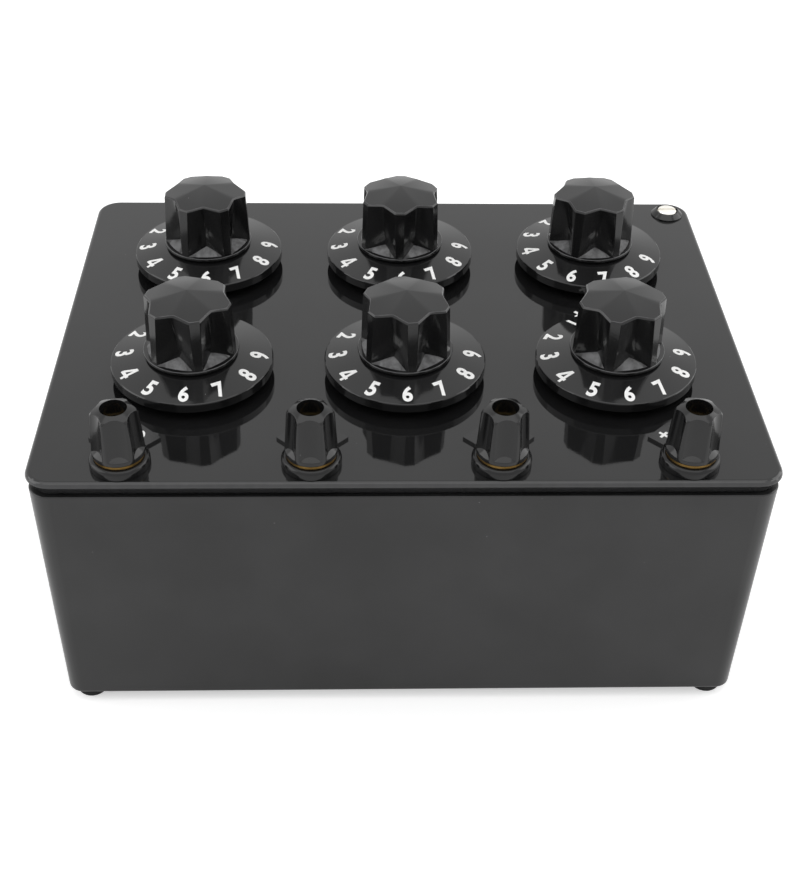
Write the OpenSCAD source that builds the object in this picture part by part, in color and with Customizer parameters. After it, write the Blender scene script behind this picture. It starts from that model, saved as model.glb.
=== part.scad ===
// Decade resistance box: six skirted dials and four binding posts on a moulded box.
// Millimetres, +Z up, front towards -Y, origin under the middle on the surface it stands on.

/* [Panel] */
// Width of the top panel
panel_w = 199; // [196:1:240]
// Depth of the top panel
panel_d = 150; // [146:1:180]
// Thickness of the top panel
panel_t = 4.8; // [3.6:0.2:6]
// Radius of the panel's corners in plan
panel_corner_r = 7; // [6.5:0.5:10]
// Radius of the panel's upper edge
panel_edge_r = 1.4; // [0.5:0.1:1.8]
// How far the panel's edge draws in underneath
panel_under = 2; // [0.5:0.1:2.5]
// Height of the lip that locates the panel in the case
lip_h = 3; // [2:0.5:4]
// Thickness of that lip
lip_t = 2; // [1.5:0.25:3]

/* [Case] */
// How far the panel overhangs the case
overhang = 0.5; // [0.25:0.25:2]
// Height of the case
case_h = 76.2; // [70:0.2:110]
// Thickness of the case walls
case_wall = 3; // [2.5:0.25:4]
// Thickness of the case floor
case_floor = 4; // [3:0.5:6]
// Radius of the upright corners at the top
case_corner_r = 6; // [5:0.25:9]
// How far the walls draw in towards the bottom
case_draft = 1.5; // [0.5:0.25:1.75]
// Radius of the bottom edge
case_bottom_r = 1.25; // [0.75:0.25:2]
// Radius of the rim's outer edge under the panel
case_rim_r = 0.4; // [0.2:0.1:0.6]
// Radius of the corner pillars
pillar_r = 6; // [5.75:0.05:6.15]
// Distance of the pillars from the panel's sides
pillar_inset = 8.25; // [8.15:0.05:9]

/* [Feet and case screws] */
// Height of the feet
foot_h = 3.5; // [3:0.25:8]
// Radius of the feet
foot_r = 4.5; // [4.25:0.25:5]
// Radius of the feet's lower edge
foot_edge_r = 0.8; // [0.4:0.1:1]
// Radius of the case screws
screw_r = 1.5; // [1:0.25:2]
// Radius of the case screw heads
screw_head_r = 2.8; // [2.5:0.1:3.2]
// Height of the case screw heads
screw_head_h = 2; // [1.5:0.25:3]
// Length of the short screw under the sealed corner
short_screw_l = 20; // [14:1:30]
// Length of the threaded inserts in the panel
insert_l = 7; // [5:0.5:9]
// Wall of the threaded inserts
insert_wall = 0.9; // [0.6:0.1:1.2]
// Wall of the panel boss round an insert
boss_wall = 1.9; // [1.2:0.1:2.2]

/* [Dials] */
// Distance of the outer dials from the panel's sides
dial_side = 39.5; // [37:0.5:42]
// Distance between the two rows of dials
dial_rows = 60; // [58:1:66]
// How far the dials sit right of the panel's middle
dial_shift = 0.6; // [0:0.1:1]
// How far the dials sit behind the panel's middle
dial_back = 4.5; // [2:0.5:7]
// Radius of the dial skirt
dial_r = 22.8; // [20:0.1:24]
// Height of the rim's top over the panel
rim_top = 5.6; // [5:0.1:7]
// Height of the rim's upright side
rim_h = 2.7; // [1.5:0.1:3]
// Rise of the dial's sloping face, per millimetre inwards
dial_slope = 0.22; // [0.1:0.01:0.25]
// Thickness of the rim
rim_t = 1.8; // [1.2:0.1:2.5]
// Radius of the rim's upper edge
rim_edge_r = 0.5; // [0.2:0.1:0.8]
// Radius of the dial's hub
hub_r = 8; // [6:0.25:9]
// Depth of the dial's hub below its seat
hub_h = 5; // [4.6:0.1:5.2]
// Radius of the raised seat under the handle
seat_r = 11.5; // [10:0.25:12.5]
// Height of the raised seat over the sloping face
seat_h = 0.3; // [0.2:0.1:0.6]

/* [Handles] */
// Number of lobes on a handle
lobes = 6; // [5:1:7]
// Radius of the handle's base disc
base_r = 13.4; // [12.5:0.1:15]
// Thickness of the base disc
base_h = 1; // [0.7:0.1:1.6]
// Radius over the lobes at their foot
lobe_foot_r = 13.1; // [12.5:0.1:13.4]
// Radius over the lobes at the top
lobe_top_r = 12.4; // [11:0.1:12.5]
// Width of a lobe's flat at its foot
lobe_foot_w = 2.3; // [1.5:0.1:3.5]
// Width of a lobe's flat at the top
lobe_top_w = 3; // [2:0.1:4]
// Radius to the bottom of a flute at its foot
flute_foot_r = 8.8; // [7:0.1:9.5]
// Radius to the bottom of a flute at the top
flute_top_r = 9.3; // [8:0.1:10]
// Radius to a flute's floor where it runs out on the base disc
runout_r = 12.9; // [11:0.1:13]
// Height of that sloping floor over the base disc
runout_h = 2; // [1:0.1:4]
// How sharply a flute is hollowed: 1 is a plain notch, 2 a round one
flute_curve = 1.5; // [1:0.1:2]
// Height of the lobes over the base disc
lobe_h = 15.4; // [12:0.2:18]
// Height of the crown over the lobes
crown_h = 3; // [2:0.25:4]
// Chamfer between the lobes and the crown
crown_chamfer = 0.4; // [0.2:0.1:0.6]

/* [Switches] */
// Radius of the switch shafts
shaft_r = 3; // [2.5:0.25:3.5]
// How far a shaft reaches into its handle
shaft_grip = 12; // [9:0.5:13]
// Outer radius of the threaded bushes
bush_r = 4.8; // [4.5:0.1:5.5]
// Radius of the flange under the panel
bush_flange_r = 7.5; // [6.5:0.25:9]
// Thickness of that flange
bush_flange_t = 2.5; // [1.5:0.25:3]
// Length of the bush below its flange
bush_tail = 3; // [2:0.5:4]
// Height of the bush nuts
bush_nut_h = 2.2; // [1.5:0.1:2.3]
// Width of the bush nuts across flats
bush_nut_af = 12; // [11.5:0.25:14]
// Thickness of the bar that carries a switch
frame_t = 2; // [1.5:0.25:2.5]
// Width of that bar
frame_w = 16; // [14:0.5:20]
// Depth of the decks below the panel's underside
deck_drop = 17.5; // [17.5:0.5:22]
// Thickness of the decks
deck_t = 2; // [1.5:0.25:3]
// Radius of the decks
deck_r = 25; // [24.9:0.05:26.5]
// Radius of the circle of contacts
contact_ring_r = 17; // [16.5:0.1:17.2]
// Radius of a contact's head
contact_r = 1.9; // [1.5:0.1:2]
// Height of a contact's head
contact_h = 1.05; // [0.8:0.05:1.3]
// Radius of a contact's stem
stem_r = 0.9; // [0.6:0.1:1.1]
// Radius of the pillars that carry a deck
deck_boss_r = 2.6; // [2.4:0.05:2.8]
// Distance of those pillars from the shaft
deck_boss_at = 22; // [21.8:0.1:22.2]
// Radius of the deck screws
deck_screw_r = 1.25; // [1:0.05:1.4]
// Radius of the deck screw heads
deck_head_r = 2.4; // [2:0.1:2.5]
// Radius of the click rotor
rotor_r = 10; // [9:0.1:10.2]
// Thickness of the click rotor
rotor_t = 4; // [3:0.25:4.5]
// Reach of the rotor's stop lug
lug_reach = 14.5; // [14:0.1:15]
// Width of the rotor's stop lug
lug_w = 4; // [3:0.25:4.5]
// Thickness of the wiper brush
brush_t = 0.6; // [0.4:0.05:0.9]
// Width of the wiper brush
brush_w = 3.4; // [2.5:0.1:3.8]
// Wall of the brush's eye round the shaft
brush_eye = 3; // [2:0.25:4]
// Radius of a stop post
stop_r = 1.2; // [0.9:0.1:1.4]
// Distance of the stop posts from the shaft
stop_at = 13; // [12.6:0.1:13.2]
// Radius of a resistor bobbin
bobbin_r = 3.2; // [2.5:0.1:3.3]
// Length of a resistor bobbin
bobbin_l = 9; // [6:0.5:12]
// Radius of the link wires
wire_r = 0.7; // [0.5:0.1:0.9]

/* [Binding posts] */
// Distance of the outer posts from the panel's sides
post_side = 24.5; // [23.5:0.5:27]
// Distance of the posts from the panel's front edge
post_inset = 9; // [8.75:0.25:11]
// Radius of the insulating collars
collar_r = 8; // [7.5:0.1:8]
// Height of the collars
collar_h = 2.7; // [2.4:0.1:4]
// Radius of a collar's shoulder
shoulder_r = 1.2; // [0.6:0.1:1.4]
// Radius of the stud's upper thread
stud_r = 3; // [2.8:0.1:3.2]
// Radius of the stud's lower thread
stud_tail_r = 2; // [1.75:0.05:2.1]
// Radius of the stud's flange
stud_flange_r = 4.5; // [4:0.1:5]
// Thickness of the stud's flange
stud_flange_t = 1.2; // [0.8:0.1:1.5]
// Radius of the plug socket in the stud
socket_r = 2; // [1.95:0.05:2.1]
// Depth of the plug socket
socket_l = 9.5; // [8:0.5:9.5]
// Height of the stud over the panel
stud_top = 12.5; // [12.5:0.25:14]
// Radius of the clamp washers
washer_r = 6.7; // [6:0.05:6.9]
// Thickness of the clamp washers
washer_t = 0.7; // [0.5:0.1:1.2]
// Radius of a cap's round foot
cap_foot_r = 6.95; // [6.6:0.05:7.5]
// Height of a cap's round foot
cap_foot_h = 1.3; // [1:0.1:2]
// Radius over a cap's lobes at the top
cap_top_r = 6.15; // [5.9:0.05:6.5]
// Overall height of a cap
cap_h = 14.2; // [13.5:0.1:16]
// Radius of the hole in a cap's top
cap_hole_r = 3.5; // [3.3:0.05:3.6]
// Depth of that hole
cap_hole_l = 5.5; // [4:0.25:6]
// Radius of a scallop in a cap's side
scallop_r = 6.5; // [5.5:0.25:9]
// Wall left between a scallop and the hole
cap_wall = 1.35; // [1.2:0.05:1.5]
// Length of a marker tag's side
tag_side = 13.6; // [12:0.2:14]
// Thickness of the marker tags
tag_t = 0.8; // [0.6:0.1:1.2]
// Width of the post nuts across flats
post_nut_af = 7; // [6.5:0.1:7.5]
// Height of the post nuts
post_nut_h = 3.2; // [2.4:0.1:4]
// Thickness of the solder tags
solder_t = 0.8; // [0.5:0.1:1]
// Width of a solder tag's tongue
tongue_w = 3; // [2.5:0.1:3.5]

/* [Sealed screw] */
// Distance of the sealed screw from the panel's right edge
seal_inset_x = 7.5; // [7.5:0.1:8.5]
// Distance of the sealed screw from the panel's back edge
seal_inset_y = 8; // [7.5:0.1:8.5]
// Radius of the seal cup
seal_cup_r = 5.2; // [4.6:0.1:5.6]
// Radius of the seal cup's top
seal_top_r = 3.8; // [3.7:0.05:4.4]
// Height of the seal cup
seal_cup_h = 1.7; // [1.4:0.1:2.4]
// Radius of the sealed screw's head
seal_head_r = 3.2; // [2.6:0.1:3.3]
// Height of the sealed screw's head
seal_head_h = 1.6; // [1.2:0.1:2.2]
// Length of the sealed screw below the panel's top
seal_screw_l = 16; // [12:1:24]

/* [Hidden] */
$fn = 96;

// Clearances
run = 0.05;
seat_gap = 0.2;
loose = 0.2;
cut = 1;

// Levels
case_z = foot_h;
rim_z = case_z + case_h;
top_z = rim_z + panel_t;
dial_rise = dial_slope * (dial_r - rim_edge_r - seat_r);
dial_seat_z = rim_top + dial_rise + seat_h;
hub_z = dial_seat_z - hub_h;
bush_top = hub_z - 0.4;
deck_z = rim_z - deck_drop;
brush_z = deck_z + contact_h + 0.15;
rotor_z = brush_z + brush_t;
stem_l = deck_t + bobbin_l + 2;
wire_z = deck_z - stem_l - wire_r;

// Places
pillar_x = panel_w / 2 - pillar_inset;
pillar_y = panel_d / 2 - pillar_inset;
seal_x = panel_w / 2 - seal_inset_x;
seal_y = panel_d / 2 - seal_inset_y;
post_y = -panel_d / 2 + post_inset;
dial_pitch = panel_w / 2 - dial_side;
dial_at = [for (row = [0, 1], column = [-1:1])
    [dial_shift + column * dial_pitch, dial_back + (row - 0.5) * dial_rows]];
post_pitch = (panel_w - 2 * post_side) / 3;
post_x = [for (i = [0:3]) (i - 1.5) * post_pitch];
corners = [[-1, -1], [1, -1], [-1, 1], [1, 1]];
boss_corners = [[-1, -1], [1, -1], [-1, 1]];

// Turn of each handle on its dial, as the lobes stand in view
handle_turn = [44, 37, 12, 2, 28, 2];
// Turn of each dial as it stands in view, clockwise below nought
dial_turn = [0, 0, 0, 0, 0, -23];
// Turn of each cap on its stud
cap_turn = [8, 0, 0, -10];
steps = 10;
step_angle = 30;
deck_boss_angles = [120, 300];
notches = 12;
flute_parts = 6;
notch_r = 1.2;

insert_r = screw_r + run + insert_wall;
boss_h = insert_l + 1.5;
boss_r = insert_r + boss_wall;
pillar_top = case_h - boss_h - 0.3;
head_recess = screw_head_h + 0.25;
long_screw_l = foot_h - head_recess + pillar_top + 0.3 + insert_l;
washer_z = collar_h + seat_gap;
cap_z = washer_z + washer_t + run;
tag_back = tag_side / sqrt(2);
stud_tail = panel_t + 2 * post_nut_h + solder_t + 2;

black = "#1c1c1d";
brass = "#b58a3c";
steel = "#c9cbcc";
phenolic = "#5b3a22";
copper = "#b5653a";

// Points of a quarter round about a centre, from one angle to another
function arc(centre, r, from, to, parts = 6) =
    [for (i = [0:parts]) centre + r * [cos(from + (to - from) * i / parts), sin(from + (to - from) * i / parts)]];

// A rounded block: an edge profile carried round the core of a rounded rectangle
module swept_block(core_x, core_y, height) {
    translate([-core_x, -core_y, 0]) cube([2 * core_x, 2 * core_y, height]);
    for (turn = [0, 180])
        rotate(turn) translate([core_x, core_y, 0]) rotate([90, 0, 0]) linear_extrude(2 * core_y) children();
    for (turn = [90, 270])
        rotate(turn) translate([core_y, core_x, 0]) rotate([90, 0, 0]) linear_extrude(2 * core_x) children();
    for (i = [0:3])
        translate([(i == 0 || i == 3 ? 1 : -1) * core_x, (i < 2 ? 1 : -1) * core_y, 0])
            rotate(90 * i) rotate_extrude(angle = 90) children();
}

// A rounded rectangular plate with square edges
module rounded_plate(half_x, half_y, r, height) {
    swept_block(half_x - r, half_y - r, height) square([r, height]);
}

// A ring or bush by its two radii
module tube(outer, inner, height) {
    difference() {
        cylinder(r = outer, h = height);
        translate([0, 0, -cut]) cylinder(r = inner, h = height + 2 * cut);
    }
}

// A hexagonal nut by its width across flats
module nut(across, inner, height) {
    difference() {
        cylinder(d = across / cos(30), h = height, $fn = 6);
        translate([0, 0, -cut]) cylinder(r = inner, h = height + 2 * cut, $fn = 96);
    }
}

// A round rod between two points
module rod(from, to, r) {
    run_to = to - from;
    length = norm(run_to);
    translate(from) rotate([0, acos(run_to.z / length), atan2(run_to.y, run_to.x)]) cylinder(r = r, h = length);
}

// Children set at the axis of one dial, at the panel's top
module at_dial(i) {
    translate([dial_at[i].x, dial_at[i].y, top_z]) children();
}

// Children set at the axis of one post, at the panel's top
module at_post(i) {
    translate([post_x[i], post_y, top_z]) children();
}

// Outline of the case's edge, from its core outwards
module case_edge() {
    foot_edge = case_corner_r - case_draft;
    polygon(concat([[0, 0]],
        arc([foot_edge - case_bottom_r, case_bottom_r], case_bottom_r, -90, 0),
        arc([case_corner_r - case_rim_r, case_h - case_rim_r], case_rim_r, 0, 90, 3),
        [[0, case_h]]));
}

// Outline of the hollow's edge
module hollow_edge() {
    inner_h = case_h - case_floor + cut;
    polygon([[0, 0], [case_corner_r - case_draft - case_wall, 0],
        [case_corner_r - case_wall, case_h - case_floor], [case_corner_r - case_wall, inner_h], [0, inner_h]]);
}

module case() {
    core_x = panel_w / 2 - overhang - case_corner_r;
    core_y = panel_d / 2 - overhang - case_corner_r;
    pillar_z = case_floor - 0.5;
    color(black) translate([0, 0, case_z]) difference() {
        union() {
            difference() {
                swept_block(core_x, core_y, case_h) case_edge();
                translate([0, 0, case_floor]) swept_block(core_x, core_y, case_h - case_floor + cut) hollow_edge();
            }
            for (c = corners) translate([c.x * pillar_x, c.y * pillar_y, pillar_z])
                cylinder(r = pillar_r, h = (c == [1, 1] ? case_h : pillar_top) - pillar_z);
        }
        for (c = boss_corners) translate([c.x * pillar_x, c.y * pillar_y, -cut])
            cylinder(r = screw_r + loose, h = case_h);
        translate([pillar_x, pillar_y, -cut]) cylinder(r = screw_r + run, h = short_screw_l + cut);
        translate([seal_x, seal_y, case_h + panel_t - seal_screw_l - cut])
            cylinder(r = screw_r + run, h = seal_screw_l + cut);
    }
}

module top_panel() {
    edge_x = panel_w / 2 - overhang - case_wall - loose;
    edge_y = panel_d / 2 - overhang - case_wall - loose;
    lip_corner_r = max(case_corner_r - case_wall, 1);
    lip_front = post_y + collar_r;
    color(black) difference() {
        union() {
            translate([0, 0, rim_z]) swept_block(panel_w / 2 - panel_corner_r, panel_d / 2 - panel_corner_r, panel_t)
                polygon(concat([[0, 0], [panel_corner_r - panel_under, 0]],
                    arc([panel_corner_r - panel_edge_r, panel_t - panel_edge_r], panel_edge_r, 0, 90),
                    [[0, panel_t]]));
            translate([0, 0, rim_z - lip_h]) difference() {
                rounded_plate(edge_x, edge_y, lip_corner_r, lip_h);
                translate([0, 0, -cut]) rounded_plate(edge_x - lip_t, edge_y - lip_t, lip_corner_r, lip_h + cut);
                translate([-panel_w, -panel_d, -cut]) cube([2 * panel_w, panel_d + lip_front, lip_h + cut]);
                for (c = corners) translate([c.x * pillar_x, c.y * pillar_y, -cut])
                    cylinder(r = pillar_r + loose, h = lip_h + cut);
            }
            for (c = boss_corners) translate([c.x * pillar_x, c.y * pillar_y, rim_z - boss_h])
                cylinder(r = boss_r, h = boss_h);
        }
        for (c = boss_corners) translate([c.x * pillar_x, c.y * pillar_y, rim_z - boss_h - cut])
            cylinder(r = insert_r + run, h = insert_l + 0.5 + cut);
        for (p = dial_at) translate([p.x, p.y, rim_z - cut]) cylinder(r = bush_r + run, h = panel_t + 2 * cut);
        for (x = post_x) translate([x, post_y, rim_z - cut]) cylinder(r = stud_tail_r + run, h = panel_t + 2 * cut);
        translate([seal_x, seal_y, rim_z - cut]) cylinder(r = screw_r + run, h = panel_t + 2 * cut);
    }
}

module feet() {
    color(black) for (c = corners) translate([c.x * pillar_x, c.y * pillar_y, 0]) difference() {
        rotate_extrude() polygon(concat([[0, 0]], arc([foot_r - foot_edge_r, foot_edge_r], foot_edge_r, -90, 0, 4), [[foot_r, foot_h], [0, foot_h]]));
        translate([0, 0, -cut]) cylinder(r = screw_head_r + loose, h = head_recess + cut);
        translate([0, 0, -cut]) cylinder(r = screw_r + loose, h = foot_h + 2 * cut);
    }
}

// A pan-headed screw, head down, its seat at the origin
module screw(r, length, head_r, head_h) {
    rotate_extrude() polygon(concat([[0, -head_h]],
        arc([head_r - head_h / 2, -head_h / 2], head_h / 2, -90, 0, 4),
        [[head_r, 0], [r, 0], [r, length], [0, length]]));
}

module case_screws() {
    color(steel) for (c = corners) translate([c.x * pillar_x, c.y * pillar_y, head_recess])
        screw(screw_r, c == [1, 1] ? short_screw_l : long_screw_l, screw_head_r, screw_head_h);
}

module panel_inserts() {
    color(brass) for (c = boss_corners) translate([c.x * pillar_x, c.y * pillar_y, rim_z - boss_h])
        tube(insert_r, screw_r + run, insert_l);
}

module seal_cup() {
    cup_floor = seal_cup_h - seal_head_h + 0.3;
    color(black) translate([seal_x, seal_y, top_z]) difference() {
        rotate_extrude() polygon([[0, 0], [seal_cup_r, 0], [seal_cup_r, 0.4], [seal_top_r, seal_cup_h], [0, seal_cup_h]]);
        translate([0, 0, cup_floor]) cylinder(r = seal_head_r + loose, h = seal_cup_h);
        translate([0, 0, -cut]) cylinder(r = screw_r + run, h = seal_cup_h);
    }
}

module seal_screw() {
    cup_floor = seal_cup_h - seal_head_h + 0.3;
    color(steel) translate([seal_x, seal_y, top_z + cup_floor]) difference() {
        mirror([0, 0, 1]) screw(screw_r, seal_screw_l + cup_floor - 2, seal_head_r, seal_head_h);
        translate([-seal_head_r, -0.4, seal_head_h - 0.7]) cube([2 * seal_head_r, 0.8, 0.7 + cut]);
    }
}

module post_collars() {
    color(black) for (i = [0:3]) at_post(i) difference() {
        rotate_extrude() polygon(concat([[0, 0], [collar_r, 0]],
            arc([collar_r - shoulder_r, collar_h - shoulder_r], shoulder_r, 0, 90), [[0, collar_h]]));
        translate([0, 0, collar_h - stud_flange_t]) cylinder(r = stud_flange_r + run, h = stud_flange_t + cut);
        translate([0, 0, -cut]) cylinder(r = stud_tail_r + run, h = collar_h + cut);
    }
}

module post_studs() {
    color(brass) for (i = [0:3]) at_post(i) difference() {
        rotate_extrude() polygon([[0, -stud_tail], [stud_tail_r, -stud_tail], [stud_tail_r, collar_h - stud_flange_t],
            [stud_flange_r, collar_h - stud_flange_t], [stud_flange_r, collar_h], [stud_r, collar_h],
            [stud_r, stud_top], [0, stud_top]]);
        translate([0, 0, stud_top - socket_l]) cylinder(r = socket_r, h = socket_l + cut);
    }
}

module post_nuts() {
    color(brass) for (i = [0:3], level = [post_nut_h, 2 * post_nut_h + solder_t])
        at_post(i) translate([0, 0, -panel_t - level]) nut(post_nut_af, stud_tail_r + run, post_nut_h);
}

// A solder tag: an eye on the stud and a tongue towards the middle of the box
module solder_tags() {
    tongue = post_nut_af;
    color(steel) for (i = [0:3]) at_post(i) translate([0, 0, -panel_t - post_nut_h - solder_t]) difference() {
        union() {
            cylinder(d = post_nut_af, h = solder_t);
            translate([-tongue_w / 2, 0, 0]) cube([tongue_w, tongue, solder_t]);
        }
        translate([0, 0, -cut]) cylinder(r = stud_tail_r + run, h = solder_t + 2 * cut);
    }
}

module marker_tags() {
    color(black) for (i = [0:3]) at_post(i) difference() {
        translate([0, tag_back, 0]) rotate(45) translate([-tag_side / 2, -tag_side / 2, 0])
            cube([tag_side, tag_side, tag_t]);
        translate([0, 0, -cut]) cylinder(r = collar_r + loose, h = tag_t + 2 * cut);
    }
}

// A bar held under the panel by the bush, with two pillars down to the deck
module switch_frames() {
    color(steel) for (p = dial_at) translate([p.x, p.y, deck_z]) rotate(deck_boss_angles[0]) difference() {
        union() {
            translate([-deck_boss_at, -frame_w / 2, deck_drop - frame_t]) cube([2 * deck_boss_at, frame_w, frame_t]);
            for (side = [-1, 1]) translate([side * deck_boss_at, 0, 0]) cylinder(r = deck_boss_r, h = deck_drop);
        }
        translate([0, 0, -cut]) cylinder(r = bush_r + run, h = deck_drop + 2 * cut);
        for (side = [-1, 1]) translate([side * deck_boss_at, 0, -cut])
            cylinder(r = deck_screw_r + run, h = deck_drop / 2 + cut);
    }
}

module switch_bushes() {
    flange_top = -panel_t - frame_t;
    flange_foot = flange_top - bush_flange_t;
    bush_foot = flange_foot - bush_tail;
    color(brass) for (i = [0:5]) at_dial(i) difference() {
        rotate_extrude() polygon([[0, bush_foot], [bush_r, bush_foot], [bush_r, flange_foot], [bush_flange_r, flange_foot],
            [bush_flange_r, flange_top], [bush_r, flange_top], [bush_r, bush_top], [0, bush_top]]);
        translate([0, 0, bush_foot - cut]) cylinder(r = shaft_r + run, h = bush_top - bush_foot + 2 * cut);
    }
}

module bush_nuts() {
    color(steel) for (i = [0:5]) at_dial(i) nut(bush_nut_af, bush_r + run, bush_nut_h);
}

module switch_decks() {
    color(phenolic) for (p = dial_at) translate([p.x, p.y, deck_z - deck_t]) difference() {
        cylinder(r = deck_r, h = deck_t);
        translate([0, 0, -cut]) cylinder(r = shaft_r + run, h = deck_t + 2 * cut);
        for (turn = deck_boss_angles) rotate(turn) translate([deck_boss_at, 0, -cut])
            cylinder(r = deck_screw_r + run, h = deck_t + 2 * cut);
        for (k = [0:steps - 1]) rotate(90 - step_angle * k) translate([contact_ring_r, 0, -cut])
            cylinder(r = stem_r + run, h = deck_t + 2 * cut);
    }
}

module deck_screws() {
    color(steel) for (p = dial_at, turn = deck_boss_angles)
        translate([p.x + deck_boss_at * cos(turn), p.y + deck_boss_at * sin(turn), deck_z - deck_t])
            screw(deck_screw_r, deck_t + deck_drop / 3, deck_head_r, 1.6);
}

// Ten rivet-headed contacts and the collector ring round the shaft, for each deck
module deck_contacts() {
    color(brass) for (p = dial_at) translate([p.x, p.y, deck_z]) {
        for (k = [0:steps - 1]) rotate(90 - step_angle * k) translate([contact_ring_r, 0, 0]) rotate_extrude()
            polygon([[0, -stem_l], [stem_r, -stem_l], [stem_r, 0], [contact_r, 0], [contact_r, contact_h - 0.3],
                [contact_r - 0.3, contact_h], [0, contact_h]]);
        tube(hub_r, shaft_r + 2, contact_h);
    }
}

// Two posts that the rotor's lug meets at the ends of its travel
module stop_posts() {
    swing = asin((lug_w / 2 + stop_r + 0.15) / stop_at);
    color(steel) for (p = dial_at, turn = [90 + swing, 180 - swing]) translate([p.x, p.y, deck_z])
        rotate(turn) translate([stop_at, 0, 0]) cylinder(r = stop_r, h = rotor_z - deck_z + rotor_t);
}

// A leaf that stands on the deck and bears on the rotor's notched rim
module detent_springs() {
    leaf_w = 7;
    leaf_t = 0.5;
    nose_r = 0.6;
    color(steel) for (p = dial_at) translate([p.x, p.y, deck_z]) rotate(135) translate([rotor_r + 0.25, 0, 0]) {
        translate([nose_r, -leaf_w / 2, 0]) cube([leaf_t, leaf_w, rotor_z - deck_z + rotor_t]);
        translate([nose_r, 0, rotor_z - deck_z]) difference() {
            cylinder(r = nose_r, h = rotor_t);
            translate([0, -cut, -cut]) cube([cut, 2 * cut, rotor_t + 2 * cut]);
        }
    }
}

// Nine wound spools between neighbouring contacts, for each deck
module resistor_bobbins() {
    flange = 0.8;
    color(copper) for (p = dial_at, k = [0:steps - 2]) translate([p.x, p.y, deck_z - deck_t])
        rotate(90 - step_angle * (k + 0.5)) translate([contact_ring_r, 0, 0]) rotate_extrude()
            polygon([[0, 0], [bobbin_r, 0], [bobbin_r, -flange], [bobbin_r - 0.7, -flange],
                [bobbin_r - 0.7, flange - bobbin_l], [bobbin_r, flange - bobbin_l], [bobbin_r, -bobbin_l],
                [0, -bobbin_l]]);
}

// Place of one contact's stem under a deck
function stem_at(deck, k) =
    [dial_at[deck].x + contact_ring_r * cos(90 - step_angle * k),
     dial_at[deck].y + contact_ring_r * sin(90 - step_angle * k), wire_z];

// Links that join the decks in a row, and a drop from each solder tag to the deck behind it
module link_wires() {
    joined = [[0, 4, 1, 8], [1, 4, 2, 8], [3, 4, 4, 8], [4, 4, 5, 8], [2, 3, 5, 3]];
    color(copper) {
        for (j = joined) rod(stem_at(j[0], j[1]), stem_at(j[2], j[3]), wire_r);
        for (i = [0:3]) {
            tag_end = [post_x[i], post_y + post_nut_af - 1, rim_z - post_nut_h - solder_t - run];
            elbow = [tag_end.x, tag_end.y, wire_z];
            deck_i = i < 2 ? i : i - 1;
            rod(elbow, tag_end, wire_r);
            translate(elbow) sphere(r = wire_r, $fn = 32);
            rod(elbow, stem_at(deck_i, i == 0 ? 8 : i == 3 ? 4 : i == 1 ? 7 : 5), wire_r);
        }
    }
}

// Skirted dial, turned on the shaft's axis, hollow underneath
module dial(i) {
    face_in = dial_r - rim_edge_r - seat_r;
    color(black) at_dial(i) rotate_extrude() polygon(concat(
        [[shaft_r + run, hub_z], [hub_r, hub_z], [hub_r, dial_seat_z - seat_h - rim_t],
         [dial_r - rim_t, rim_top - rim_t], [dial_r - rim_t, rim_top - rim_h], [dial_r, rim_top - rim_h]],
        arc([dial_r - rim_edge_r, rim_top - rim_edge_r], rim_edge_r, 0, 90, 4),
        [[seat_r, rim_top + dial_slope * face_in], [seat_r, dial_seat_z], [shaft_r + run, dial_seat_z]]));
}

// One point of the lobed outline, at an angle from the middle of a lobe. Its level falls outwards, by drop
// along the middle of the nearer lobe and by fall along the middle of the flute.
function lobe_point(lobe, off, r, z, drop, fall) =
    let (nearer = min(abs(off), 360 / lobes - abs(off)))
    [r * cos(lobe + off), r * sin(lobe + off), z - drop * r * cos(nearer) - fall * r * cos(180 / lobes - nearer)];

// One level of the lobed outline: each lobe's flat, then the hollow of the flute beside it
function lobe_ring(lobe_r, lobe_w, flute_r, z, drop = 0, fall = 0) = [for (i = [0:lobes - 1], k = [-1:flute_parts - 1])
    let (lobe = 360 * i / lobes, half = asin(lobe_w / 2 / lobe_r), part = k / flute_parts)
    k < 0
        ? lobe_point(lobe, -half, lobe_r, z, drop, fall)
        : lobe_point(lobe, half + part * (360 / lobes - 2 * half),
            flute_r + (lobe_r - flute_r) * pow(abs(2 * part - 1), flute_curve), z, drop, fall)];
function mix(from, to, share) = from + (to - from) * share;

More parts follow.
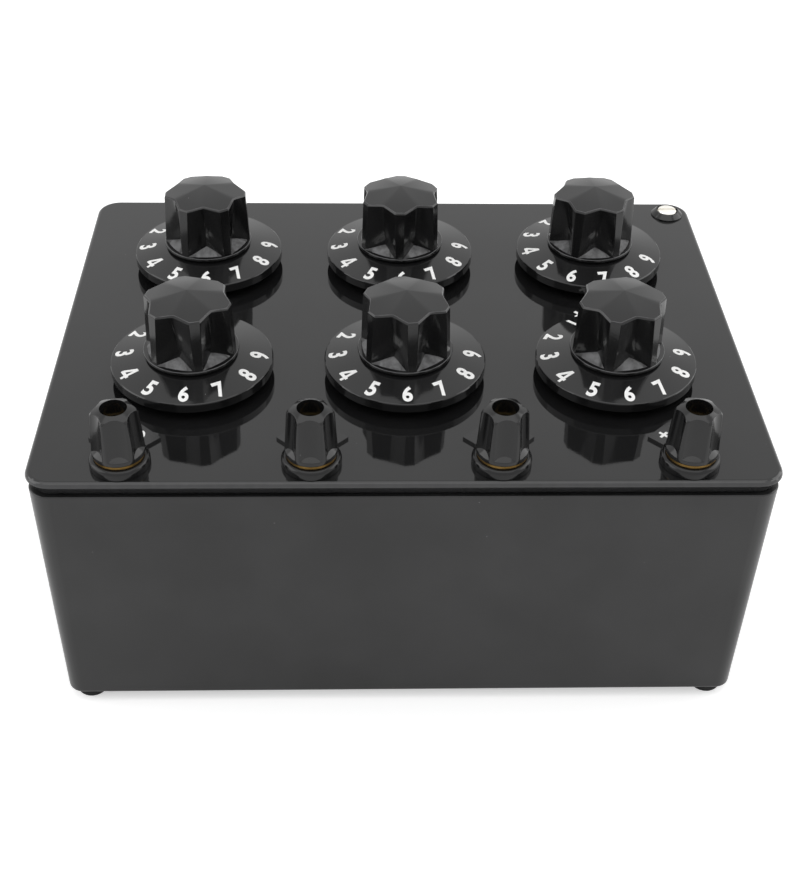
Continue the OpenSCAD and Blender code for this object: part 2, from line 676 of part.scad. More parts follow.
// Fluted handle on its round base disc, with a shallow crown of one facet to a lobe
module knob(i) {
    foot_z = dial_seat_z + base_h;
    low_z = dial_seat_z + base_h / 2;
    floor_z = foot_z + runout_h;
    edge_z = foot_z + lobe_h;
    apex_z = edge_z + crown_h;
    fall = (floor_z - low_z) / (runout_r - flute_foot_r);
    side_z = floor_z - fall * (lobe_foot_r * cos(180 / lobes) - flute_foot_r);
    share = (side_z - low_z) / (edge_z - low_z);
    drop = crown_h / lobe_top_r;
    edge = crown_chamfer;
    ring_n = (flute_parts + 1) * lobes;
    points = concat(
        lobe_ring(lobe_foot_r, lobe_foot_w, runout_r, low_z),
        lobe_ring(mix(lobe_foot_r, lobe_top_r, share), mix(lobe_foot_w, lobe_top_w, share), flute_foot_r,
            floor_z + fall * flute_foot_r, 0, fall),
        lobe_ring(lobe_top_r, lobe_top_w, flute_top_r, apex_z - edge, drop),
        lobe_ring(lobe_top_r - edge, lobe_top_w - edge, flute_top_r - edge, apex_z, drop),
        [[0, 0, low_z], [0, 0, apex_z]]);
    faces = concat(
        [for (j = [0:ring_n - 1]) [4 * ring_n, j, (j + 1) % ring_n]],
        [for (level = [0:2], j = [0:ring_n - 1])
            [level * ring_n + j, (level + 1) * ring_n + j, level * ring_n + (j + 1) % ring_n]],
        [for (level = [0:2], j = [0:ring_n - 1])
            [level * ring_n + (j + 1) % ring_n, (level + 1) * ring_n + j, (level + 1) * ring_n + (j + 1) % ring_n]],
        [for (j = [0:ring_n - 1]) [4 * ring_n + 1, 3 * ring_n + (j + 1) % ring_n, 3 * ring_n + j]]);
    color(black) at_dial(i) difference() {
        union() {
            rotate_extrude() polygon([[0, dial_seat_z], [base_r - 0.2, dial_seat_z], [base_r, dial_seat_z + 0.2],
                [base_r, foot_z - 0.2], [base_r - 0.2, foot_z], [0, foot_z]]);
            rotate(handle_turn[i]) polyhedron(points, faces);
        }
        translate([0, 0, dial_seat_z - cut]) cylinder(r = shaft_r + run, h = shaft_grip + 0.5 + cut);
    }
}

module shaft(i) {
    shaft_foot = deck_z - deck_t - 1.5 - top_z;
    color(steel) at_dial(i) translate([0, 0, shaft_foot])
        cylinder(r = shaft_r, h = dial_seat_z + shaft_grip - shaft_foot);
}

// Click rotor: a notched disc on the shaft, with the lug that meets the stops
module rotor(i) {
    color(phenolic) at_dial(i) translate([0, 0, rotor_z - top_z]) rotate(90 + dial_turn[i]) difference() {
        union() {
            cylinder(r = rotor_r, h = rotor_t);
            translate([0, -lug_w / 2, 0]) cube([lug_reach, lug_w, rotor_t]);
        }
        translate([0, 0, -cut]) cylinder(r = shaft_r + run, h = rotor_t + 2 * cut);
        for (k = [1:notches - 1]) rotate(360 * k / notches) translate([rotor_r + notch_r / 2, 0, -cut])
            cylinder(r = notch_r, h = rotor_t + 2 * cut);
    }
}

// Wiper brush under the rotor: an eye on the shaft and a blade that reaches the contacts
module brush(i) {
    color(brass) at_dial(i) translate([0, 0, brush_z - top_z]) rotate(90 + dial_turn[i]) difference() {
        union() {
            cylinder(r = shaft_r + brush_eye, h = brush_t);
            translate([0, -brush_w / 2, 0]) cube([contact_ring_r + 1, brush_w, brush_t]);
        }
        translate([0, 0, -cut]) cylinder(r = shaft_r + run, h = brush_t + 2 * cut);
    }
}

module clamp_washer(i) {
    color(brass) at_post(i) translate([0, 0, washer_z]) tube(washer_r, stud_r + run, washer_t);
}

// Screw cap with six scalloped sides that stop at a round foot
module post_cap(i) {
    chamfer = 0.4;
    valley_r = cap_hole_r + cap_wall;
    lean = atan((cap_foot_r - cap_top_r) / (cap_h - cap_foot_h));
    color(black) at_post(i) translate([0, 0, cap_z]) rotate(cap_turn[i]) difference() {
        rotate_extrude() polygon([[0, 0], [cap_foot_r - 0.2, 0], [cap_foot_r, 0.2], [cap_foot_r, cap_foot_h],
            [cap_top_r, cap_h - chamfer], [cap_top_r - chamfer, cap_h], [0, cap_h]]);
        for (k = [0:5]) rotate(60 * k + 30) intersection() {
            translate([valley_r + scallop_r, 0, cap_h]) rotate([0, -lean, 0]) translate([0, 0, -2 * cap_h])
                cylinder(r = scallop_r, h = 3 * cap_h);
            translate([0, -2 * cap_foot_r, cap_foot_h]) cube([4 * cap_foot_r, 4 * cap_foot_r, cap_h]);
        }
        translate([0, 0, -cut]) cylinder(r = stud_r + run, h = cap_h + 2 * cut);
        translate([0, 0, cap_h - cap_hole_l]) cylinder(r = cap_hole_r, h = cap_hole_l + cut);
    }
}

case();
top_panel();
feet();
case_screws();
panel_inserts();
seal_cup();
seal_screw();
post_collars();
post_studs();
post_nuts();
solder_tags();
marker_tags();
switch_frames();
switch_bushes();
bush_nuts();
switch_decks();
deck_screws();
deck_contacts();
stop_posts();
detent_springs();
resistor_bobbins();
link_wires();
for (i = [0:5]) {
    dial(i);
    knob(i);
    shaft(i);
    rotor(i);
    brush(i);
}
for (i = [0:3]) {
    clamp_washer(i);
    post_cap(i);
}
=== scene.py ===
# %% [markdown]
# A decade resistance box for the electrical bench. Its solids arrive already packed in one
# shared frame, and this lesson dresses them: camera, light, finishes, and the small things that
# are painted or softened, such as the figures on the dials and the rounded edges of the handles.

# %% Load the frame
import cmath
import math

import bmesh
import bpy
from mathutils import Matrix, Vector


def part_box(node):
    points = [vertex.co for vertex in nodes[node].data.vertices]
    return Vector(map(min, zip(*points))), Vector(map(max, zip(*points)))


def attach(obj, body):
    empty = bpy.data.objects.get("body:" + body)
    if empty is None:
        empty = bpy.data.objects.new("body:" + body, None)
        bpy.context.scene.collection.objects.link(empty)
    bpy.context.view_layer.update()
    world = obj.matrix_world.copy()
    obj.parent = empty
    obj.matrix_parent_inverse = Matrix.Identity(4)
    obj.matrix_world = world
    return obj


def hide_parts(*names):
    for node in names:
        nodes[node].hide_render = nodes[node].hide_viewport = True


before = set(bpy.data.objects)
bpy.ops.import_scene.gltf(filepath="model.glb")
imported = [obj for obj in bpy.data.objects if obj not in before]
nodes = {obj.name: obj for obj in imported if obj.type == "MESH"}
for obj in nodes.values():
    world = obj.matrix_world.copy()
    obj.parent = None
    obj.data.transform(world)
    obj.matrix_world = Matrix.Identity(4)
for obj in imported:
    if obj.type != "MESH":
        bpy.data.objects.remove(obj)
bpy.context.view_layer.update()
scene = bpy.context.scene
MM = 0.001

# %% [markdown]
# The camera repeats the photograph's viewpoint. A camera can be placed by eye, or worked out from
# edges whose real sizes are known. Here it was worked out, so it is written as a photographer
# would note it: where it stands, how far it is turned, tipped and rolled, and its focal length.

# %% Place the camera
PICTURE_W = 800
PICTURE_H = 880
SENSOR_MM = 36.0
FOCAL_PX = 1427.8
AXIS_PX = (401.6, 437.0)
TURN = math.radians(2.39)
TIP = math.radians(37.94)
ROLL = math.radians(-1.37)
PANEL_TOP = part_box("top_panel")[1].z
CAMERA_AT = Vector((-13.7 * MM, -358.1 * MM, PANEL_TOP + 236.2 * MM))

forward = Vector((math.sin(TURN) * math.cos(TIP), math.cos(TURN) * math.cos(TIP), -math.sin(TIP)))
level_right = Vector((math.cos(TURN), -math.sin(TURN), 0))
level_down = forward.cross(level_right)
right = level_right * math.cos(ROLL) + level_down * math.sin(ROLL)
up = level_right * math.sin(ROLL) - level_down * math.cos(ROLL)

lens = bpy.data.cameras.new("photo_camera")
lens.sensor_fit = "HORIZONTAL"
lens.sensor_width = SENSOR_MM
lens.lens = FOCAL_PX * SENSOR_MM / PICTURE_W
lens.shift_x = (PICTURE_W / 2 - AXIS_PX[0]) / PICTURE_W
lens.shift_y = (AXIS_PX[1] - PICTURE_H / 2) / PICTURE_W
camera = bpy.data.objects.new("photo_camera", lens)
camera.matrix_world = Matrix((
    (right.x, up.x, -forward.x, CAMERA_AT.x),
    (right.y, up.y, -forward.y, CAMERA_AT.y),
    (right.z, up.z, -forward.z, CAMERA_AT.z),
    (0, 0, 0, 1)))
scene.collection.objects.link(camera)
scene.camera = camera
scene.view_settings.view_transform = "Standard"
print("camera lens", round(lens.lens, 2), "mm at", tuple(round(v, 3) for v in CAMERA_AT))

# %% [markdown]
# Black plastic has almost no colour of its own, so what shows is what it mirrors. In the photograph
# that is an even white room. The world is therefore white to the camera and in reflections, and a
# little dimmer as a lamp, so that soft boxes at the sides can still shape the edges.

# %% White room
WHITE = (1.0, 1.0, 1.0, 1.0)
ROOM_LIGHT = 0.6


def add_node(tree, kind, **sockets):
    """A shader node with some of its input sockets set."""
    made = tree.nodes.new(kind)
    for socket, value in sockets.items():
        made.inputs[socket.replace("_", " ")].default_value = value
    return made


def math_of(tree, operation, first, second):
    """A math node on a socket and a second value, which is a socket or a plain number."""
    made = tree.nodes.new("ShaderNodeMath")
    made.operation = operation
    tree.links.new(first, made.inputs[0])
    if isinstance(second, float):
        made.inputs[1].default_value = second
    else:
        tree.links.new(second, made.inputs[1])
    return made.outputs[0]


world = bpy.data.worlds.new("studio_room")
scene.world = world
world.use_nodes = True
room = world.node_tree
room.nodes.clear()
ray = add_node(room, "ShaderNodeLightPath")
lamp_room = add_node(room, "ShaderNodeBackground", Color=WHITE, Strength=ROOM_LIGHT)
white_room = add_node(room, "ShaderNodeBackground", Color=WHITE, Strength=1.0)
seen_or_glossy = math_of(room, "MAXIMUM", ray.outputs["Is Camera Ray"], ray.outputs["Is Glossy Ray"])
seen_any = math_of(room, "MAXIMUM", seen_or_glossy, ray.outputs["Is Transmission Ray"])
room_mix = add_node(room, "ShaderNodeMixShader")
room_out = add_node(room, "ShaderNodeOutputWorld")
room.links.new(seen_any, room_mix.inputs[0])
room.links.new(lamp_room.outputs[0], room_mix.inputs[1])
room.links.new(white_room.outputs[0], room_mix.inputs[2])
room.links.new(room_mix.outputs[0], room_out.inputs["Surface"])
print("room lights with", ROOM_LIGHT, "of its white")

# %% [markdown]
# Three soft boxes stand round the box. One could use points or spots, but those leave hard spots on
# glossy plastic, so each lamp is a large square that faces the box.

# %% Soft boxes
LAMPS_AIM = Vector((0, 0, 0.05))


def soft_box(name, at, size, watts):
    """A square area lamp that faces the box."""
    lamp = bpy.data.lights.new(name, "AREA")
    lamp.shape = "SQUARE"
    lamp.size = size
    lamp.energy = watts
    holder = bpy.data.objects.new(name, lamp)
    holder.location = at
    holder.rotation_euler = (LAMPS_AIM - Vector(at)).to_track_quat("-Z", "Y").to_euler()
    scene.collection.objects.link(holder)
    return holder


soft_boxes = [
    soft_box("left_soft_box", at=(-1.1, -0.1, 0.7), size=1.0, watts=4.5),
    soft_box("right_soft_box", at=(1.1, 0.2, 0.7), size=1.0, watts=4.5),
    soft_box("top_soft_box", at=(0.0, -0.2, 1.3), size=1.4, watts=5.0),
]
print("lamps:", [lamp.name for lamp in soft_boxes])

# %% [markdown]
# The floor is a large pale sheet. It is an ordinary diffuse white that takes the shadow, with a
# little glow that only the camera and the reflections see. The camera's share carries it up to the
# white page, and the smaller share for reflections keeps the case front as dim as in the photograph.

# %% Lay the floor
FLOOR_HALF = 3.0
PAPER_TONE = (0.86, 0.86, 0.86, 1)
PAGE_GLOW = 0.48
MIRROR_GLOW = 0.22


def new_material(name):
    """An empty node material with its output node."""
    material = bpy.data.materials.new(name)
    material.use_nodes = True
    tree = material.node_tree
    tree.nodes.clear()
    return material, tree, tree.nodes.new("ShaderNodeOutputMaterial")


def object_from(name, shape):
    """A mesh object at the origin from a finished bmesh."""
    mesh = bpy.data.meshes.new(name)
    shape.to_mesh(mesh)
    shape.free()
    piece = bpy.data.objects.new(name, mesh)
    scene.collection.objects.link(piece)
    return piece


floor_paper, paper, paper_out = new_material("floor_paper")
paper_diffuse = add_node(paper, "ShaderNodeBsdfDiffuse", Color=PAPER_TONE)
paper_glow = add_node(paper, "ShaderNodeEmission", Color=WHITE)
paper_ray = add_node(paper, "ShaderNodeLightPath")
page_level = math_of(paper, "MULTIPLY", paper_ray.outputs["Is Camera Ray"], PAGE_GLOW)
mirror_level = math_of(paper, "MULTIPLY", paper_ray.outputs["Is Glossy Ray"], MIRROR_GLOW)
paper_level = math_of(paper, "MAXIMUM", page_level, mirror_level)
paper_sum = add_node(paper, "ShaderNodeAddShader")
paper.links.new(paper_level, paper_glow.inputs["Strength"])
paper.links.new(paper_diffuse.outputs[0], paper_sum.inputs[0])
paper.links.new(paper_glow.outputs[0], paper_sum.inputs[1])
paper.links.new(paper_sum.outputs[0], paper_out.inputs["Surface"])

sheet = bmesh.new()
bmesh.ops.create_grid(sheet, x_segments=1, y_segments=1, size=FLOOR_HALF)
floor = object_from("floor", sheet)
floor.data.materials.append(floor_paper)
print("floor", 2 * FLOOR_HALF, "m across")

# %% [markdown]
# No surface is one flat colour. Each finish is made of noise and bands, read on the object's own
# coordinates so that they stay on the piece when it moves. An image would need a picture file and a
# UV map for every solid, so a few small pattern helpers are used instead.

# %% Pattern helpers
COLOUR_A = 6
COLOUR_B = 7
COLOUR_OUT = 2


def noise(tree, place, scale, detail=3.0):
    """Noise on the object's own coordinates, with scale counted per metre."""
    made = add_node(tree, "ShaderNodeTexNoise", Scale=scale, Detail=detail, Roughness=0.55)
    tree.links.new(place.outputs["Object"], made.inputs["Vector"])
    return made.outputs["Fac"]


def bands(tree, place, scale, wobble):
    """Fine bands along Z, such as lathe rings or the turns of a winding."""
    made = add_node(tree, "ShaderNodeTexWave", Scale=scale, Distortion=wobble, Detail=1.0)
    made.bands_direction = "Z"
    tree.links.new(place.outputs["Object"], made.inputs["Vector"])
    return made.outputs["Fac"]


def spread(tree, source, low, high, from_low=0.3, from_high=0.7):
    """Stretch a pattern's middle range to run from low to high."""
    made = add_node(tree, "ShaderNodeMapRange", From_Min=from_low, From_Max=from_high,
                    To_Min=low, To_Max=high)
    tree.links.new(source, made.inputs["Value"])
    return made.outputs["Result"]


def two_tone(tree, source, dark, light, low=0.35, high=0.65):
    """A colour ramp between two colours, driven by a pattern."""
    ramp = tree.nodes.new("ShaderNodeValToRGB")
    ramp.color_ramp.elements[0].position = low
    ramp.color_ramp.elements[0].color = (*dark, 1)
    ramp.color_ramp.elements[1].position = high
    ramp.color_ramp.elements[1].color = (*light, 1)
    tree.links.new(source, ramp.inputs["Fac"])
    return ramp.outputs["Color"]


def mixed(tree, share, first, second):
    """Go from one colour to a second, which is a socket or a plain colour, by a share."""
    made = tree.nodes.new("ShaderNodeMix")
    made.data_type = "RGBA"
    tree.links.new(share, made.inputs["Factor"])
    tree.links.new(first, made.inputs[COLOUR_A])
    if isinstance(second, tuple):
        made.inputs[COLOUR_B].default_value = second
    else:
        tree.links.new(second, made.inputs[COLOUR_B])
    return made.outputs[COLOUR_OUT]


def roughen(tree, shader, pattern, strength, deep):
    """Give a shader a fine bump from a pattern."""
    bump = add_node(tree, "ShaderNodeBump", Strength=strength, Distance=deep)
    tree.links.new(pattern, bump.inputs["Height"])
    tree.links.new(bump.outputs["Normal"], shader.inputs["Normal"])


print("patterns:", [helper.__name__ for helper in (noise, bands, spread, two_tone, mixed, roughen)])

# %% [markdown]
# Some blacks are painted greyer where they tilt, and this grey is painted light: a painted sheen on
# the panel's rounded edge, and a mottled painted reflection of the bright room on the sloping floors
# of the handles' flutes. Those places could be painted face by face, but the height of the surface
# normal already finds them on every piece.

# %% Painted light on tilted faces
MOTTLE_PER_M = 420.0
# Painted light: a lighter grey on the panel's rounded edge is a painted sheen.
PAINTED_EDGE_SHEEN = (0.042, 0.08, ((-0.2, 0.5), (-0.05, 1.0), (0.75, 1.0), (0.98, 0.0)))
# Painted light: a mottled grey on the sloping floors of the flutes is a painted reflection of the bright
# room.
PAINTED_FLUTE_REFLECTION = (0.085, 0.45, ((0.80, 0.0), (0.83, 1.0), (0.88, 1.0), (0.91, 0.0)))


def grey(level):
    """A neutral colour, very slightly cool."""
    return (level, level, level * 1.03)


def grey_where_tilted(tree, place, body, tone, mottle, stops):
    """Mix a mottled grey of painted light into a colour: each stop is a height of the normal and a share
    of grey.
    """
    lie = tree.nodes.new("ShaderNodeNewGeometry")
    height = tree.nodes.new("ShaderNodeSeparateXYZ")
    tree.links.new(lie.outputs["Normal"], height.inputs[0])
    share = tree.nodes.new("ShaderNodeValToRGB")
    ramp = share.color_ramp
    while len(ramp.elements) < len(stops):
        ramp.elements.new(0.5)
    for mark, (at, level) in zip(ramp.elements, stops):
        mark.position = (at + 1) / 2
        mark.color = (level, level, level, 1)
    tree.links.new(spread(tree, height.outputs["Z"], 0.0, 1.0, -1.0, 1.0), share.inputs["Fac"])
    pattern = noise(tree, place, MOTTLE_PER_M)
    mottled = two_tone(tree, pattern, grey(tone * (1 - mottle)), grey(tone * (1 + mottle)))
    return mixed(tree, share.outputs["Color"], body, mottled)


# Both greys are painted light: a sheen on the panel's edge and a reflection in the flutes.
print("greys:", PAINTED_EDGE_SHEEN[0], "on the panel's edge,", PAINTED_FLUTE_REFLECTION[0], "in the flutes")

# %% [markdown]
# Moulded black plastic comes in several polishes here: the mirror-like panel, the satin case and the
# polished handles. One recipe makes them all. Cloudy noise varies the black a little, a finer noise
# varies the polish, a very fine one roughens the surface, and a sparse cell pattern leaves dust.

# %% Black plastics
CLOUDS_PER_M = 35.0
POLISH_PER_M = 90.0
GRAIN_PER_M = 2200.0
GRAIN_DEEP = 0.2 * MM
DUST_PER_M = 150.0
DUST_TONE = 0.16


def black_plastic(name, tone, polish, grain, dust=0.02, gloss=0.5, tilted=None, cloud=0.15):
    """Moulded plastic: its own black, roughness, fine bump, dust, gloss, painted light where tilted and
    unevenness.
    """
    material, tree, out = new_material(name)
    place = tree.nodes.new("ShaderNodeTexCoord")
    shader = add_node(tree, "ShaderNodeBsdfPrincipled", Specular_IOR_Level=gloss)
    clouds = noise(tree, place, CLOUDS_PER_M)
    body = two_tone(tree, clouds, grey(tone * (1 - cloud)), grey(tone * (1 + cloud)))
    if tilted:
        body = grey_where_tilted(tree, place, body, *tilted)
    cells = add_node(tree, "ShaderNodeTexVoronoi", Scale=DUST_PER_M, Randomness=1.0)
    tree.links.new(place.outputs["Object"], cells.inputs["Vector"])
    speck = math_of(tree, "LESS_THAN", cells.outputs["Distance"], dust)
    dusty = mixed(tree, speck, body, (*grey(DUST_TONE), 1))
    worn = spread(tree, noise(tree, place, POLISH_PER_M), polish * 0.8, polish * 1.25)
    tree.links.new(dusty, shader.inputs["Base Color"])
    tree.links.new(worn, shader.inputs["Roughness"])
    roughen(tree, shader, noise(tree, place, GRAIN_PER_M, 2.0), grain, GRAIN_DEEP)
    tree.links.new(shader.outputs[0], out.inputs["Surface"])
    return material


# The panel's rounded edge carries a painted sheen in its grey.
panel_gloss = black_plastic("panel_gloss", 0.009, 0.045, 0.01, dust=0.012, tilted=PAINTED_EDGE_SHEEN)
case_satin = black_plastic("case_satin", 0.011, 0.2, 0.05, cloud=0.4)
dial_gloss = black_plastic("dial_gloss", 0.009, 0.09, 0.02)
# The flutes' sloping floors carry a mottled painted reflection in their grey.
handle_gloss = black_plastic("handle_gloss", 0.009, 0.12, 0.03, tilted=PAINTED_FLUTE_REFLECTION)
post_gloss = black_plastic("post_gloss", 0.008, 0.14, 0.04, gloss=0.45)
collar_gloss = black_plastic("collar_gloss", 0.008, 0.16, 0.04, gloss=0.35)
tag_satin = black_plastic("tag_satin", 0.014, 0.2, 0.05)
foot_rubber = black_plastic("foot_rubber", 0.012, 0.7, 0.3, gloss=0.3)
blacks = (panel_gloss, case_satin, dial_gloss, handle_gloss, post_gloss, collar_gloss, tag_satin,
          foot_rubber)
print("plastics:", [black.name for black in blacks])

# %% [markdown]
# The metal parts are turned from bar, so they carry fine rings round their axes. A wave texture
# stretched flat in Z gives those rings on every stud and washer, whatever its place. Noise then
# breaks the shine and tarnishes the colour a little.

# %% Turned metals
TARNISH_PER_M = 260.0
SHINE_PER_M = 700.0
RINGS_SCALE = 125.0
RINGS_DEEP = 0.1 * MM


def turned_metal(name, dark, light, shine):
    """Bright turned metal with tarnish and fine rings along Z."""
    material, tree, out = new_material(name)
    place = tree.nodes.new("ShaderNodeTexCoord")
    shader = add_node(tree, "ShaderNodeBsdfPrincipled", Metallic=1.0)
    tarnish = two_tone(tree, noise(tree, place, TARNISH_PER_M), dark, light)
    worn = spread(tree, noise(tree, place, SHINE_PER_M), shine * 0.75, shine * 1.4)
    tree.links.new(tarnish, shader.inputs["Base Color"])
    tree.links.new(worn, shader.inputs["Roughness"])
    roughen(tree, shader, bands(tree, place, RINGS_SCALE, 0.6), 0.08, RINGS_DEEP)
    tree.links.new(shader.outputs[0], out.inputs["Surface"])
    return material


brass = turned_metal("brass", (0.5, 0.34, 0.12), (0.72, 0.53, 0.23), 0.3)
dull_brass = turned_metal("dull_brass", (0.15, 0.09, 0.025), (0.27, 0.17, 0.055), 0.4)
bright_steel = turned_metal("bright_steel", (0.52, 0.53, 0.54), (0.72, 0.73, 0.74), 0.25)
pale_nickel = turned_metal("pale_nickel", (0.88, 0.86, 0.8), (0.97, 0.95, 0.9), 0.4)
tinned_copper = turned_metal("tinned_copper", (0.55, 0.24, 0.11), (0.7, 0.36, 0.19), 0.3)
print("metals:", [metal.name for metal in (brass, dull_brass, bright_steel, pale_nickel, tinned_copper)])

# %% [markdown]
# Inside the box the switch decks are paper laminate and the resistors are varnished wire wound on
# spools. Laminate shows a faint layered mottle; the windings show close turns, which a fine wave
# along the spool's axis gives.

# %% Laminate and windings
LAYER_DEEP = 0.2 * MM


def layered(name, dark, light, mottle_per_m, layers, polish):
    """A matt material with a mottle and fine bands along Z."""
    material, tree, out = new_material(name)
    place = tree.nodes.new("ShaderNodeTexCoord")
    shader = tree.nodes.new("ShaderNodeBsdfPrincipled")
    mottle = two_tone(tree, noise(tree, place, mottle_per_m, 5.0), dark, light)
    worn = spread(tree, noise(tree, place, mottle_per_m * 2), polish * 0.85, polish * 1.15)
    tree.links.new(mottle, shader.inputs["Base Color"])
    tree.links.new(worn, shader.inputs["Roughness"])
    roughen(tree, shader, bands(tree, place, layers, 0.4), 0.4, LAYER_DEEP)
    tree.links.new(shader.outputs[0], out.inputs["Surface"])
    return material


laminate = layered("laminate", (0.2, 0.1, 0.05), (0.32, 0.18, 0.09), 180.0, 120.0, 0.45)
winding = layered("winding", (0.3, 0.13, 0.05), (0.45, 0.22, 0.1), 400.0, 160.0, 0.35)
print("inside:", laminate.name, winding.name)

# %% [markdown]
# Now every solid gets its finish. The solids that come in numbered families, such as the six dials,
# share one line of the list, so the number at the end of a name is dropped before it is looked up.

# %% Finish the solids
FINISHES = {
    "case": case_satin, "top_panel": panel_gloss, "feet": foot_rubber, "case_screws": bright_steel,
    "panel_inserts": brass, "seal_cup": post_gloss, "seal_screw": pale_nickel,
    "post_collars": collar_gloss, "post_studs": brass, "post_nuts": brass, "solder_tags": bright_steel,
    "marker_tags": tag_satin, "switch_frames": bright_steel, "switch_bushes": brass,
    "bush_nuts": bright_steel, "switch_decks": laminate, "deck_screws": bright_steel,
    "deck_contacts": brass, "stop_posts": bright_steel, "detent_springs": bright_steel,
    "resistor_bobbins": winding, "link_wires": tinned_copper, "dial": dial_gloss, "knob": handle_gloss,
    "shaft": bright_steel, "rotor": laminate, "brush": brass, "clamp_washer": dull_brass,
    "post_cap": post_gloss,
}
for name, solid in nodes.items():
    family = name.rstrip("0123456789").rstrip("_")
    solid.data.materials.clear()
    solid.data.materials.append(FINISHES[family])
print("finished", len(nodes), "solids with", len(set(FINISHES.values())), "finishes")

# %% [markdown]
# A moulded handle has no knife edges: every corner is rounded in the tool, and those tiny rounds
# catch the thin light lines that make it look real. A bevel makes such a round, but it also bends
# the shading of the walls beside it. Blender can weight the normals by face size, but it loses the
# soft creases of the crown. So each corner's normal is worked out here, led by the larger faces round
# it: the walls stay flat and the light stays in the narrow rounds.

# %% Steady shading
LEVEL_FACE = 0.95
CROWN_FACETED = 0.2


def steady_shading(mesh, crease):
    """Corner normals led by the larger faces round each point, within the crease angle in degrees.

    Faces that lie nearly level, as a crown's do, keep a share of their own flatness.
    """
    faces = mesh.polygons
    around = [[] for point in mesh.vertices]
    for face in faces:
        for point in face.vertices:
            around[point].append(face)
    least = math.cos(math.radians(crease))
    normals = []
    for face in faces:
        for point in face.vertices:
            near = [other for other in around[point] if other.normal.dot(face.normal) > least]
            smooth = sum((other.normal * other.area for other in near), Vector()).normalized()
            own = CROWN_FACETED if face.normal.z > LEVEL_FACE else 0.0
            normals.append(smooth.lerp(face.normal, own).normalized())
    mesh.normals_split_custom_set(normals)


print("creases of a crown show at", CROWN_FACETED)

# %% [markdown]
# The handles' flutes are shallower at the crown than at the foot. They could be cut again, but it is
# enough to draw the crown's outline part of the way out to the straight line between two lobes. The
# points slide along the crown's slope, so its facets stay flat.

# %% Shallower flutes at the crown
LOBES = 6
CROWN_DEEP = 3.6 * MM
CROWN_SLOPE = 0.242
CROWN_EDGE = 0.43 * MM
CROWN_EDGE_BELOW = 0.2 * MM
FLUTE_CHORD = 11.41 * MM
FLUTE_FILL = 0.5
TIP_SHARE = 0.985
HUB_SHARE = 0.5


def fill_flutes(shape, centre):
    """Draw the crown's outline out of the flutes towards the straight line between two lobes."""
    top = max(v.co.z for v in shape.verts)
    crown = [v for v in shape.verts if v.co.z > top - CROWN_DEEP]
    spots = [complex(v.co.x - centre[0], v.co.y - centre[1]) for v in crown]
    reach = max(abs(spot) for spot in spots)
    tips = [spot for spot in spots if abs(spot) > TIP_SHARE * reach]
    lobe = cmath.phase(sum((tip / abs(tip)) ** LOBES for tip in tips)) / LOBES
    step = math.tau / LOBES
    for v, spot in zip(crown, spots):
        if abs(spot) < HUB_SHARE * reach:
            continue
        off = abs((cmath.phase(spot) - lobe + step / 2) % step - step / 2)
        below = top - v.co.z - CROWN_SLOPE * abs(spot) * math.cos(off)
        chord = FLUTE_CHORD if below > CROWN_EDGE_BELOW else FLUTE_CHORD - CROWN_EDGE
        gain = FLUTE_FILL * max(chord / math.cos(step / 2 - off) - abs(spot), 0.0)
        v.co.x += gain * spot.real / abs(spot)
        v.co.y += gain * spot.imag / abs(spot)
        v.co.z -= CROWN_SLOPE * gain * math.cos(off)


print("flutes filled by", FLUTE_FILL, "at the crown")

# %% [markdown]
# A post cap's top slopes away from its hole, and each hollow in its side ends in a small scoop above
# the foot. Both come from moving points that the solid already has: the top's points go down by how
# far they lie from the hole, and the hollow's lowest points go up by how deep they lie in the cap.

# %% Sloping caps
CAP_RIM = 0.5 * MM
CAP_LIP_R = 3.7 * MM
CAP_TOP_FALL = 0.5
CAP_FOOT_R = 6.95 * MM
CAP_FOOT_H = 1.3 * MM
FOOT_SLACK = 0.05 * MM
SCOOP_RISE = 0.9


def shape_cap(shape, centre):
    """Slope a cap's top outwards from its hole, and scoop the ends of its side hollows at the foot."""
    low = min(v.co.z for v in shape.verts)
    top = max(v.co.z for v in shape.verts)
    for v in shape.verts:
        reach = math.hypot(v.co.x - centre[0], v.co.y - centre[1])
        if v.co.z > top - CAP_RIM:
            v.co.z -= CAP_TOP_FALL * max(reach - CAP_LIP_R, 0.0)
        elif abs(v.co.z - low - CAP_FOOT_H) < FOOT_SLACK and reach < CAP_FOOT_R:
            v.co.z += SCOOP_RISE * (CAP_FOOT_R - reach)


print("cap tops fall", CAP_TOP_FALL, "mm for each mm outwards")

# %% [markdown]
# The handles, the post caps and the collars are copied from their solids. The loose triangles are
# merged, flat ones are joined into whole faces, and a bevel runs along every sharp outward edge.
# Bevels on the solids themselves would do it too, but would add many faces to the part's source.

# %% Round the moulded edges
SHARP = math.radians(30)
FLAT = math.radians(0.8)
SAME_POINT = 0.002 * MM
HANDLE_ROUND = 0.35 * MM
POST_ROUND = 0.2 * MM


def middle(node):
    """The middle of a solid's box, seen from above."""
    low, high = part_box(node)
    return (low.x + high.x) / 2, (low.y + high.y) / 2


def rounded_copy(node, name, radius, steps, crease, reshape=None):
    """A copy of a solid with its outward sharp edges rounded, and creases kept past the given angle."""
    solid = nodes[node]
    shape = bmesh.new()
    shape.from_mesh(solid.data)
    bmesh.ops.remove_doubles(shape, verts=shape.verts, dist=SAME_POINT)
    if reshape:
        reshape(shape, middle(node))
    bmesh.ops.dissolve_limit(shape, angle_limit=FLAT, verts=shape.verts, edges=shape.edges)
    shape.normal_update()
    sharp = [e for e in shape.edges
             if len(e.link_faces) == 2 and e.is_convex and e.calc_face_angle() > SHARP]
    bmesh.ops.bevel(shape, geom=sharp, offset=radius, offset_type="OFFSET", segments=steps, profile=0.5,
                    affect="EDGES", material=-1, clamp_overlap=True)
    bmesh.ops.triangulate(shape, faces=[f for f in shape.faces if len(f.verts) > 4])
    for face in shape.faces:
        face.smooth = True
    piece = object_from(name, shape)
    piece.data.materials.append(solid.data.materials[0])
    steady_shading(piece.data, crease)
    return piece


